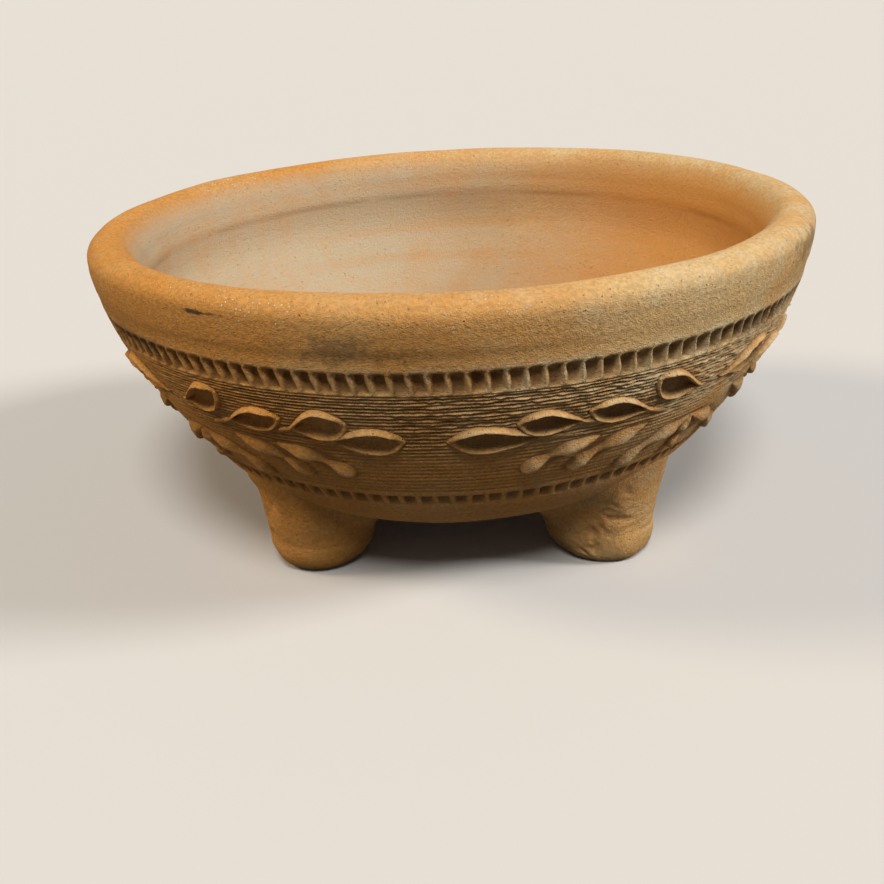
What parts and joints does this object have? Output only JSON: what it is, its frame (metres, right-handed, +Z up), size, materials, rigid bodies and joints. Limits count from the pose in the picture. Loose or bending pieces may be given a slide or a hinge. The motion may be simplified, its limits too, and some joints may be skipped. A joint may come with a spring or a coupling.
{
  "type": "footed planter bowl",
  "caption": "Unglazed terracotta planter bowl with a thick rolled rim, stub feet, a stamped notch band, combed wall and applied leaf sprays.",
  "frame": {"origin": "centre of the bowl, on the floor it stands on", "axes": "+Z up along the bowl's axis, -Y towards the front, midway between two feet, +X to the right"},
  "size_m": [0.3, 0.3, 0.1353],
  "materials": {
    "bowl_clay": "matte unglazed",
    "foot_clay": "matte unglazed",
    "leaf_clay": "matte unglazed"
  },
  "bodies": {
    "root": {"bowl": "bowl_clay", "foot_front_left": "foot_clay", "foot_front_right": "foot_clay", "foot_rear_left": "foot_clay", "foot_rear_right": "foot_clay", "spray_front_left_left_end_leaf": "leaf_clay", "spray_front_left_left_inner_leaf": "leaf_clay", "spray_front_left_left_low_inner_leaf": "leaf_clay", "spray_front_left_left_low_outer_leaf": "leaf_clay", "spray_front_left_left_second_leaf": "leaf_clay", "spray_front_left_left_third_leaf": "leaf_clay", "spray_front_left_middle_leaves": "leaf_clay", "spray_front_left_right_end_leaf": "leaf_clay", "spray_front_left_right_inner_leaf": "leaf_clay", "spray_front_left_right_low_inner_leaf": "leaf_clay", "spray_front_left_right_low_outer_leaf": "leaf_clay", "spray_front_left_right_second_leaf": "leaf_clay", "spray_front_left_right_third_leaf": "leaf_clay", "spray_front_right_left_end_leaf": "leaf_clay", "spray_front_right_left_inner_leaf": "leaf_clay", "spray_front_right_left_low_inner_leaf": "leaf_clay", "spray_front_right_left_low_outer_leaf": "leaf_clay", "spray_front_right_left_second_leaf": "leaf_clay", "spray_front_right_left_third_leaf": "leaf_clay", "spray_front_right_middle_leaves": "leaf_clay", "spray_front_right_right_end_leaf": "leaf_clay", "spray_front_right_right_inner_leaf": "leaf_clay", "spray_front_right_right_low_inner_leaf": "leaf_clay", "spray_front_right_right_low_outer_leaf": "leaf_clay", "spray_front_right_right_second_leaf": "leaf_clay", "spray_front_right_right_third_leaf": "leaf_clay", "spray_rear_left_left_end_leaf": "leaf_clay", "spray_rear_left_left_inner_leaf": "leaf_clay", "spray_rear_left_left_low_inner_leaf": "leaf_clay", "spray_rear_left_left_low_outer_leaf": "leaf_clay", "spray_rear_left_left_second_leaf": "leaf_clay", "spray_rear_left_left_third_leaf": "leaf_clay", "spray_rear_left_middle_leaves": "leaf_clay", "spray_rear_left_right_end_leaf": "leaf_clay", "spray_rear_left_right_inner_leaf": "leaf_clay", "spray_rear_left_right_low_inner_leaf": "leaf_clay", "spray_rear_left_right_low_outer_leaf": "leaf_clay", "spray_rear_left_right_second_leaf": "leaf_clay", "spray_rear_left_right_third_leaf": "leaf_clay", "spray_rear_right_left_end_leaf": "leaf_clay", "spray_rear_right_left_inner_leaf": "leaf_clay", "spray_rear_right_left_low_inner_leaf": "leaf_clay", "spray_rear_right_left_low_outer_leaf": "leaf_clay", "spray_rear_right_left_second_leaf": "leaf_clay", "spray_rear_right_left_third_leaf": "leaf_clay", "spray_rear_right_middle_leaves": "leaf_clay", "spray_rear_right_right_end_leaf": "leaf_clay", "spray_rear_right_right_inner_leaf": "leaf_clay", "spray_rear_right_right_low_inner_leaf": "leaf_clay", "spray_rear_right_right_low_outer_leaf": "leaf_clay", "spray_rear_right_right_second_leaf": "leaf_clay", "spray_rear_right_right_third_leaf": "leaf_clay"}
  },
  "joints": []
}
